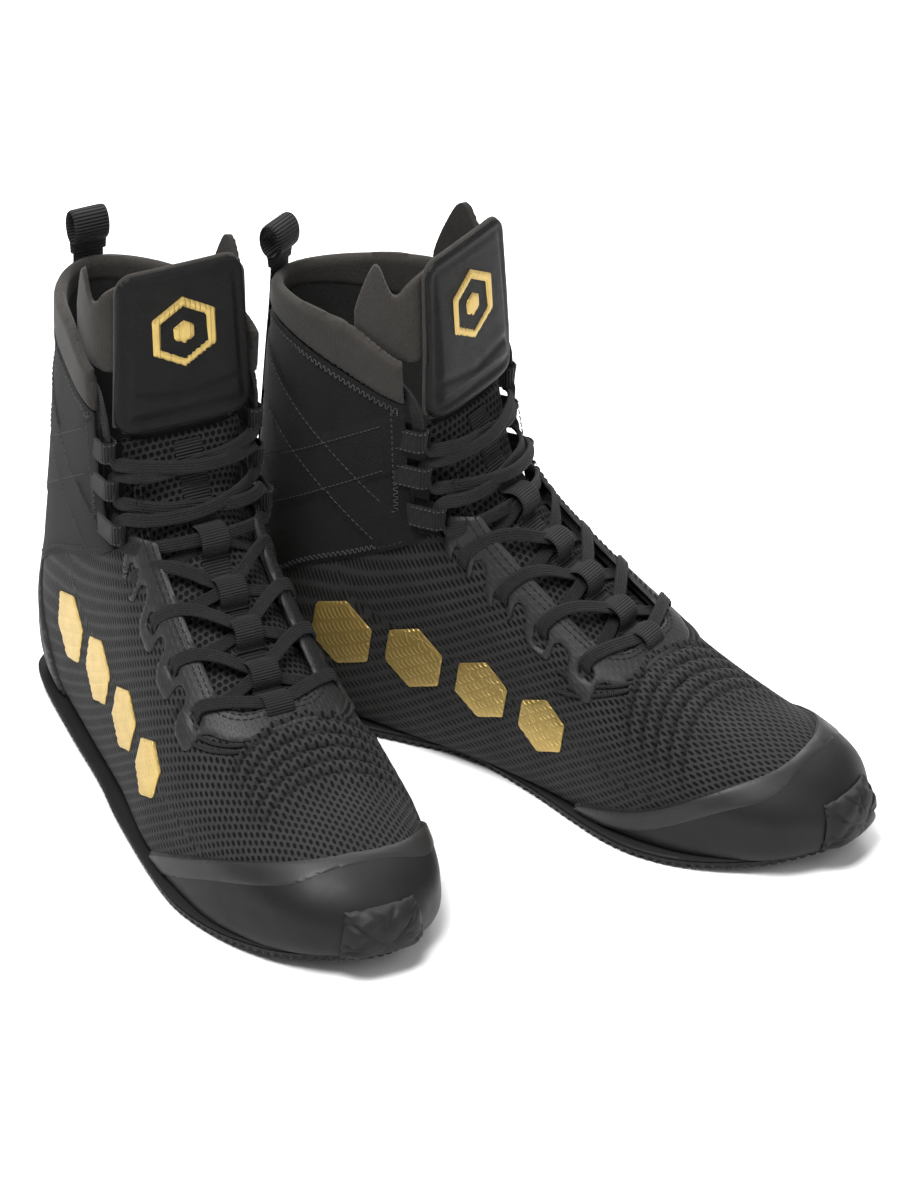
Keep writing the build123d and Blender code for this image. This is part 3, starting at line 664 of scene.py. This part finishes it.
# The sole's section: height, how far in from the outline, and how deep the notches cut.
SOLE_SECTION = [(1.2, 14, 0), (0.0, 2.6, 0), (0.05, 1.0, 1.3), (0.5, 0.45, 1.2), (1.7, 0.15, 1.0),
                (1.75, 0.1, 0), (2.9, 0, 0), (3.1, 0.5, 0), (3.4, 0.5, 0), (3.6, 0.05, 0), (4.2, 0.3, 0),
                (4.4, 1.0, 0), (4.4, 14, 0)]
rings = []
for height, inset, cut in SOLE_SECTION:
    flat = ring + aside * (inset + heel_inset + cut * notch[:, None])
    rings.append(np.concatenate([flat, (height + toe_spring(flat[:, 0]))[:, None]], 1))
count = len(ring)
faces = [[r * count + k, r * count + (k + 1) % count, (r + 1) * count + (k + 1) % count, (r + 1) * count + k]
         for r in range(len(rings) - 1) for k in range(count)]
faces += [list(range(count))[::-1], [(len(rings) - 1) * count + k for k in range(count)]]
sole_points = np.concatenate(rings)
sole_faces = faces
BUMPER = both(17 - (Z - 5) * 0.18 - np.abs(Y), 27 - Z, Z - 4.3 - SPRING, X - 258)
cuts = [np.abs(np.mod(Y * 0.7 + lean * Z, 7.5) - 3.75) for lean in (1, -1)]
cuts = sum(np.exp(-((3.75 - cut) / 0.75) ** 2) for cut in cuts) * ease(BUMPER - 1.5)
shapes["toe_bumper"] = wall(BUMPER, 1.4 + 1.8 * dome(BUMPER, 1.6) - 0.8 * np.minimum(cuts, 1), 1.2)
shapes["outsole"] = Shape(sole_points, sole_faces, sole_points)

# Insole: a cloth-faced foam sheet, cupped a little at its edge.
inner = BODY.points(-4.6).reshape(-1, 3)
inner = inner[np.abs(inner[:, 2] - 10 - toe_spring(inner[:, 0])) < 1.6]
stations = np.linspace(inner[:, 0].min() + 2, inner[:, 0].max() - 2, 90)
shares = np.linspace(-1, 1, 25)
sheet_points = []
for height, bulge in ((12.6, 0.6), (9.4, 0)):
    for x in stations:
        near = inner[np.abs(inner[:, 0] - x) < 4]
        low, high = near[:, 1].min(), near[:, 1].max()
        close = dome(np.array(min(x - stations[0], stations[-1] - x) + 2.0), 16)
        base = height + toe_spring(x)
        for share in shares:
            across = (low + high) / 2 + share * (high - low) / 2 * close
            sheet_points.append((x, across, base + bulge * share**4))
wide, long = len(shares), len(stations)
faces = []
for level in (0, 1):
    for i in range(long - 1):
        for k in range(wide - 1):
            a = level * long * wide + i * wide + k
            quad = [a, a + wide, a + wide + 1, a + 1]
            faces.append(quad if level == 0 else quad[::-1])
rim = [i * wide for i in range(long)] + [(long - 1) * wide + k for k in range(1, wide)]
rim += [i * wide + wide - 1 for i in range(long - 2, -1, -1)] + list(range(wide - 2, 0, -1))
faces += [[b, a, a + long * wide, b + long * wide] for a, b in zip(rim, rim[1:] + rim[:1])]
shapes["insole"] = Shape(sheet_points, faces, sheet_points)


# ---------------------------------------------------------------- materials
class Tree:
    """A material's nodes, written as expressions. Fabric coordinates are in mm."""

    def __init__(self, name):
        self.material = bpy.data.materials.new(name)
        self.material.use_nodes = True
        self.nodes, self.links = self.material.node_tree.nodes, self.material.node_tree.links
        self.shader = self.nodes["Principled BSDF"]
        weave = self.node("ShaderNodeAttribute")
        weave.attribute_name = "weave"
        split = self.node("ShaderNodeSeparateXYZ")
        self.links.new(weave.outputs["Vector"], split.inputs[0])
        self.weave, self.u, self.v, self.w = weave.outputs["Vector"], *split.outputs
        # Per point values: rubbed edges that some materials lighten, and painted shade that darkens the
        # knit's furrows.
        wear_and_shade = self.node("ShaderNodeAttribute")
        wear_and_shade.attribute_name = "wear_and_shade"
        self.wear_and_shade = wear_and_shade.outputs["Fac"]

    def node(self, kind):
        return self.nodes.new(kind)

    def put(self, socket, value):
        if isinstance(value, bpy.types.NodeSocket):
            self.links.new(value, socket)
        else:
            socket.default_value = value

    def math(self, operation, *values):
        node = self.node("ShaderNodeMath")
        node.operation = operation
        for socket, value in zip(node.inputs, values):
            self.put(socket, value)
        return node.outputs[0]

    def wave(self, value, pitch):
        """0 to 1 and back once every pitch."""
        turned = self.math("MULTIPLY", value, 2 * pi / pitch)
        return self.math("MULTIPLY_ADD", self.math("SINE", turned), 0.5, 0.5)

    def noise(self, scale, detail=3.0):
        """Fractal noise, scale in cycles per mm."""
        node = self.node("ShaderNodeTexNoise")
        node.inputs["Scale"].default_value = scale
        node.inputs["Detail"].default_value = detail
        self.put(node.inputs["Vector"], self.weave)
        return node.outputs["Fac"]

    def crackle(self, scale):
        node = self.node("ShaderNodeTexVoronoi")
        node.feature = "DISTANCE_TO_EDGE"
        node.inputs["Scale"].default_value = scale
        self.put(node.inputs["Vector"], self.weave)
        return node.outputs["Distance"]

    def holes(self, long, tall, size):
        """Staggered oval holes: 0 in a hole, 1 on the threads between."""
        row = self.math("DIVIDE", self.v, tall)
        shift = self.math("MULTIPLY", self.math("FLOORED_MODULO", self.math("FLOOR", row), 2.0), 0.5)
        along = self.math("ADD", self.math("DIVIDE", self.u, long), shift)
        a = self.math("SUBTRACT", self.math("FRACT", along), 0.5)
        b = self.math("SUBTRACT", self.math("FRACT", row), 0.5)
        squares = self.math("MULTIPLY", a, a), self.math("MULTIPLY", b, b)
        far = self.math("SQRT", self.math("ADD", *squares))
        return self.ramp(far, size - 0.07, size + 0.05)

    def ramp(self, value, low, high):
        """0 below low, 1 above high, and a smooth rise between."""
        node = self.node("ShaderNodeMapRange")
        node.interpolation_type = "SMOOTHSTEP"
        for socket, number in zip(node.inputs[:5], (value, low, high, 0.0, 1.0)):
            self.put(socket, number)
        return node.outputs[0]

    def colour(self, share, low, high):
        node = self.node("ShaderNodeMix")
        node.data_type = "RGBA"
        self.put(node.inputs[0], share)
        node.inputs[6].default_value = (*low, 1)
        node.inputs[7].default_value = (*high, 1)
        return node.outputs[2]

    def finish(self, colour, roughness, height=None, depth=0.0002, sheen=0.0, metallic=0.0, specular=0.5):
        """Depth is the bump's height in metres."""
        self.put(self.shader.inputs["Base Color"], colour)
        self.put(self.shader.inputs["Roughness"], roughness)
        self.shader.inputs["Sheen Weight"].default_value = sheen
        self.shader.inputs["Sheen Roughness"].default_value = 0.5
        self.shader.inputs["Metallic"].default_value = metallic
        self.shader.inputs["Specular IOR Level"].default_value = specular * 0.5
        if height is not None:
            bump = self.node("ShaderNodeBump")
            bump.inputs["Distance"].default_value = depth
            bump.inputs["Strength"].default_value = 1.0
            self.put(bump.inputs["Height"], height)
            self.links.new(bump.outputs[0], self.shader.inputs["Normal"])
        return self.material


def grey(value, warm=0.0):
    return (value * (1 + warm), value, value * (1 - warm))


def knit():
    t = Tree("knit_mesh")
    thread = t.holes(4.0, 2.1, 0.33)
    yarn = t.wave(t.math("ADD", t.u, t.math("MULTIPLY", t.v, 0.6)), 0.55)
    cloud = t.math("MULTIPLY_ADD", t.noise(0.06), 0.5, 0.35)
    share = t.math("MULTIPLY", thread, t.math("MULTIPLY_ADD", yarn, 0.3, cloud))
    # Painted shade: the knit darkened along the pleats' furrows.
    share = t.math("MULTIPLY", share, t.math("SUBTRACT", 1.0, t.wear_and_shade))
    height = t.math("ADD", thread, t.math("MULTIPLY", yarn, 0.18))
    colour = t.colour(share, grey(0.001), grey(0.034))
    return t.finish(colour, 0.78, height, 0.0006, sheen=0.03, specular=0.25)


def honeycomb():
    t = Tree("spacer_mesh")
    thread = t.holes(3.2, 2.6, 0.36)
    share = t.math("MULTIPLY", thread, t.math("MULTIPLY_ADD", t.noise(0.15), 0.6, 0.5))
    colour = t.colour(share, grey(0.001), grey(0.026))
    return t.finish(colour, 0.8, thread, 0.0007, sheen=0.03, specular=0.25)


def twill():
    t = Tree("elastic_twill")
    diagonal = t.wave(t.math("ADD", t.u, t.w), 1.15)
    fine = t.wave(t.math("SUBTRACT", t.u, t.w), 0.5)
    height = t.math("MULTIPLY_ADD", fine, 0.35, diagonal)
    share = t.math("MULTIPLY", height, t.math("MULTIPLY_ADD", t.noise(0.05), 0.8, 0.3))
    share = t.math("ADD", share, t.math("MULTIPLY", t.wear_and_shade, 0.25))
    tone = 0.0048
    colour = t.colour(share, grey(tone * 0.5), grey(tone * 1.9))
    return t.finish(colour, 0.7, height, 0.00028, sheen=0.03, specular=0.25)


def suede(name, tone, warm, pitch=0.9):
    t = Tree(name)
    nap, cloud = t.noise(pitch, 5.0), t.noise(0.07)
    share = t.math("MULTIPLY_ADD", nap, 0.6, t.math("MULTIPLY", cloud, 0.6))
    share = t.math("ADD", share, t.math("MULTIPLY", t.wear_and_shade, 0.15))
    colour = t.colour(share, grey(tone * 0.5, warm), grey(tone * 1.5, warm))
    return t.finish(colour, 0.92, nap, 0.0003, sheen=0.08, specular=0.15)


def grosgrain(name="grosgrain", pitch=1.05, tone=0.008):
    t = Tree(name)
    rib = t.math("POWER", t.wave(t.u, pitch), 0.6)
    cross = t.wave(t.v, 0.6)
    height = t.math("MULTIPLY_ADD", cross, 0.2, rib)
    share = t.math("MULTIPLY", height, t.math("MULTIPLY_ADD", t.noise(0.2), 0.5, 0.45))
    colour = t.colour(share, grey(tone * 0.35), grey(tone * 2.0))
    return t.finish(colour, 0.62, height, 0.0004, sheen=0.03, specular=0.35)


def braid():
    t = Tree("lace_cord")
    left = t.wave(t.math("MULTIPLY_ADD", t.v, 1.2, t.u), 1.1)
    right = t.wave(t.math("MULTIPLY_ADD", t.v, -1.2, t.u), 1.1)
    height = t.math("MAXIMUM", left, right)
    share = t.math("MULTIPLY", height, t.math("MULTIPLY_ADD", t.noise(0.3), 0.6, 0.4))
    colour = t.colour(share, grey(0.0025), grey(0.02))
    return t.finish(colour, 0.65, height, 0.00025, sheen=0.03, specular=0.3)


def moulded(name, tone, rough, grain=1.6, depth=0.00006):
    t = Tree(name)
    fine, cloud = t.noise(grain, 4.0), t.noise(0.04)
    share = t.math("ADD", t.math("MULTIPLY", cloud, 0.7), t.math("MULTIPLY", t.wear_and_shade, 0.5))
    roughness = t.math("MULTIPLY_ADD", t.noise(0.11), 0.22, rough - 0.1)
    colour = t.colour(share, grey(tone * 0.7), grey(tone * 1.6))
    return t.finish(colour, roughness, fine, depth, specular=0.45)


def film():
    t = Tree("film_eyestay")
    print_through = t.holes(4.0, 2.1, 0.33)
    fine = t.noise(2.0, 4.0)
    height = t.math("MULTIPLY_ADD", fine, 0.3, t.math("MULTIPLY", print_through, 0.5))
    share = t.math("ADD", t.math("MULTIPLY", t.noise(0.08), 0.6), t.math("MULTIPLY", t.wear_and_shade, 0.7))
    return t.finish(t.colour(share, grey(0.011), grey(0.026)), 0.5, height, 0.00016, specular=0.45)


def gold():
    t = Tree("gold_film")
    through = t.holes(4.0, 2.1, 0.33)
    sparkle = t.noise(2.4, 4.0)
    share = t.math("MULTIPLY_ADD", sparkle, 0.5, t.math("MULTIPLY", t.noise(0.12), 0.6))
    roughness = t.math("MULTIPLY_ADD", sparkle, 0.2, 0.3)
    height = t.math("MULTIPLY_ADD", sparkle, 0.15, through)
    colour = t.colour(share, (0.34, 0.23, 0.06), (0.66, 0.48, 0.17))
    return t.finish(colour, roughness, height, 0.00022, metallic=0.75)


def leather():
    t = Tree("tongue_pad")
    grain = t.ramp(t.crackle(1.1), 0.0, 0.12)
    share = t.math("ADD", t.math("MULTIPLY", t.noise(0.09), 0.8), t.math("MULTIPLY", t.wear_and_shade, 0.25))
    roughness = t.math("MULTIPLY_ADD", t.noise(0.2), 0.2, 0.38)
    return t.finish(t.colour(share, grey(0.003), grey(0.009)), roughness, grain, 0.00009, specular=0.3)


def fibre_board():
    t = Tree("fibre_board")
    fibre = t.noise(1.2, 5.0)
    return t.finish(t.colour(fibre, grey(0.3, 0.05), grey(0.55, 0.05)), 0.9, fibre, 0.0001)


LOOKS = {
    "outsole": (moulded("outsole_rubber", 0.007, 0.62, 1.2, 0.0001), "outsole_rubber"),
    "toe_bumper": (moulded("bumper_rubber", 0.009, 0.55, 1.4, 0.00008), "outsole_rubber"),
    "mesh_upper": (knit(), "knit_mesh"),
    "toe_cap": (moulded("moulded_toe", 0.0075, 0.5, 1.8, 0.00005), "moulded_toe"),
    "toe_band": (moulded("film_band", 0.016, 0.42, 1.8, 0.00006), "moulded_toe"),
    "heel_counter": (moulded("moulded_heel", 0.009, 0.5, 1.8, 0.00006), "moulded_heel"),
    "eyestay": (film(), "film_eyestay"),
    "throat_bars": (grosgrain("bar_thread", 0.8, 0.012), "film_eyestay"),
    "eyestay_stitching": (braid(), "lace_cord"),
    "outer_patches": (gold(), "gold_film"),
    "ankle_wrap": (twill(), "elastic_twill"),
    "wrap_seams": (grosgrain("seam_thread", 0.7, 0.05), "elastic_twill"),
    "collar": (suede("suede_fabric", 0.027, 0.09), "suede_fabric"),
    "lining": (suede("lining_fabric", 0.016, 0.03, 0.6), "lining_fabric"),
    "tongue": (honeycomb(), "spacer_mesh"),
    "tongue_webbing": (grosgrain("tongue_webbing", 1.2, 0.009), "grosgrain"),
    "tongue_top": (leather(), "tongue_pad"),
    "strap_stitching": (suede("light_thread", 0.05, 0.06, 2.0), "grosgrain"),
    "insole": (suede("insole_foam", 0.02, 0.02, 0.8), "insole_foam"),
    "lace_aglets": (moulded("aglet_plastic", 0.02, 0.25), "aglet_plastic"),
    "midsole": (moulded("midsole_foam", 0.03, 0.8), "midsole_foam"),
    "lasting_board": (fibre_board(), "board"),
}
LOOKS["strap_loops"] = LOOKS["lace_keepers"] = (grosgrain(), "grosgrain")
LOOKS["pull_loop"] = LOOKS["heel_strip"] = (grosgrain("heel_webbing", 1.3, 0.009), "grosgrain")
LOOKS["lace"] = (LOOKS["eyestay_stitching"][0], "lace_cord")
LOOKS["inner_patches"] = LOOKS["tongue_emblem"] = LOOKS["outer_patches"]
LOOKS["tongue_wings"] = LOOKS["tongue_piping"] = (LOOKS["collar"][0], "suede_fabric")
LOOKS["tongue_fold"] = (LOOKS["lining"][0], "spacer_mesh")

# ---------------------------------------------------------------- both boots
RIDES = {name: "tongue_top" for name in ("tongue_top", "tongue_wings", "tongue_emblem", "tongue_piping")}
RIDES["pull_loop"] = "pull_loop"
KEPT = ("midsole", "lasting_board", "lace_aglets")


def placed(points, side):
    """One boot's points (mm) in the row frame (m)."""
    turn, mirror = radians(TURN[side]), 1 if side == "left" else -1
    x, y = points[:, 0], points[:, 1] * mirror
    return np.stack([
        PAIR_ORIGIN[0] + HEEL[side][0] + cos(turn) * x - sin(turn) * y,
        PAIR_ORIGIN[1] + HEEL[side][1] + sin(turn) * x + cos(turn) * y,
        points[:, 2],
    ], -1) / 1000


def outward_faces(shape):
    """The shape's faces, turned to face out of its volume."""
    fans = [(face[0], face[k], face[k + 1]) for face in shape.faces for k in range(1, len(face) - 1)]
    triangles = np.array(fans)
    a, b, c = (shape.points[triangles[:, k]] for k in range(3))
    volume = np.einsum("ij,ij->i", a, np.cross(b, c)).sum()
    return shape.faces if volume > 0 else [face[::-1] for face in shape.faces]


for name, shape in shapes.items():
    faces = outward_faces(shape)
    for side in ("left", "right"):
        mesh = bpy.data.meshes.new(f"{side}_{name}_skin")
        turned = faces if side == "left" else [face[::-1] for face in faces]
        mesh.from_pydata(placed(shape.points, side).tolist(), [], turned)
        weave = mesh.attributes.new("weave", "FLOAT_VECTOR", "POINT")
        weave.data.foreach_set("vector", shape.weave.astype(np.float32).ravel())
        # Per point: rubbed edges, and on the mesh upper painted shade along the furrows.
        wear_and_shade = mesh.attributes.new("wear_and_shade", "FLOAT", "POINT")
        wear_and_shade.data.foreach_set("value", shape.wear_and_shade.astype(np.float32))
        mesh.shade_smooth()
        mesh.set_sharp_from_angle(angle=radians(52))
        piece = bpy.data.objects.new(f"{side}_{name}_skin", mesh)
        bpy.context.scene.collection.objects.link(piece)
        look, slot_name = LOOKS[name]
        mesh.materials.append(look)
        if name == "tongue_fold":
            low, high = placed(np.array([(102, 0, 146), (101, 0, 158)], float), side)
            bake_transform(piece)
        else:
            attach(piece, f"{side}_{RIDES.get(name, 'boot')}")
        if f"{side}_{name}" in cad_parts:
            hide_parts(f"{side}_{name}")
for side in ("left", "right"):
    for name in KEPT:
        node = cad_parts[f"{side}_{name}"]
        node.data.materials.clear()
        node.data.materials.append(LOOKS[name][0])

# ---------------------------------------------------------------- floor, light and camera
plane = bpy.data.meshes.new("floor")
corners = [(-6, -6, -0.0003), (6, -6, -0.0003), (6, 9, -0.0003), (-6, 9, -0.0003)]
plane.from_pydata(corners, [], [(0, 1, 2, 3)])
floor = bpy.data.objects.new("floor", plane)
bpy.context.scene.collection.objects.link(floor)
t = Tree("floor_paper")
plane.materials.append(t.finish(t.colour(0.5, grey(0.86), grey(0.9)), 0.9, specular=0.1))


def lamp(name, place, aim, size, power):
    data = bpy.data.lights.new(name, "AREA")
    data.energy = power
    data.size = size
    light = bpy.data.objects.new(name, data)
    light.location = place
    light.rotation_mode = "QUATERNION"
    light.rotation_quaternion = (Vector(aim) - Vector(place)).to_track_quat("-Z", "Y")
    bpy.context.scene.collection.objects.link(light)


lamp("key", (-0.5, -0.55, 2.2), (0, 0, 0.08), 1.1, 84)
lamp("fill", (1.3, -1.0, 1.2), (0, 0, 0.08), 1.6, 12)
lamp("back", (0.2, 1.5, 1.6), (0, 0, 0.1), 1.5, 46)
world = bpy.data.worlds.new("studio")
bpy.context.scene.world = world
world.use_nodes = True
world.node_tree.nodes["Background"].inputs[0].default_value = (1, 1, 1, 1)
world.node_tree.nodes["Background"].inputs[1].default_value = 0.22

CAMERA_RISE, CAMERA_FAR = radians(30.37), 3.754
aim = Vector((0.0207 + PAIR_ORIGIN[0] / 1000, PAIR_ORIGIN[1] / 1000, 0.0792))
lens = bpy.data.cameras.new("camera")
lens.lens = 288.1
lens.sensor_width = 36
camera = bpy.data.objects.new("camera", lens)
camera.location = aim + CAMERA_FAR * Vector((0, -cos(CAMERA_RISE), sin(CAMERA_RISE)))
camera.rotation_mode = "QUATERNION"
camera.rotation_quaternion = (aim - camera.location).to_track_quat("-Z", "Y")
bpy.context.scene.collection.objects.link(camera)
bpy.context.scene.camera = camera
bpy.context.scene.view_settings.view_transform = "Standard"
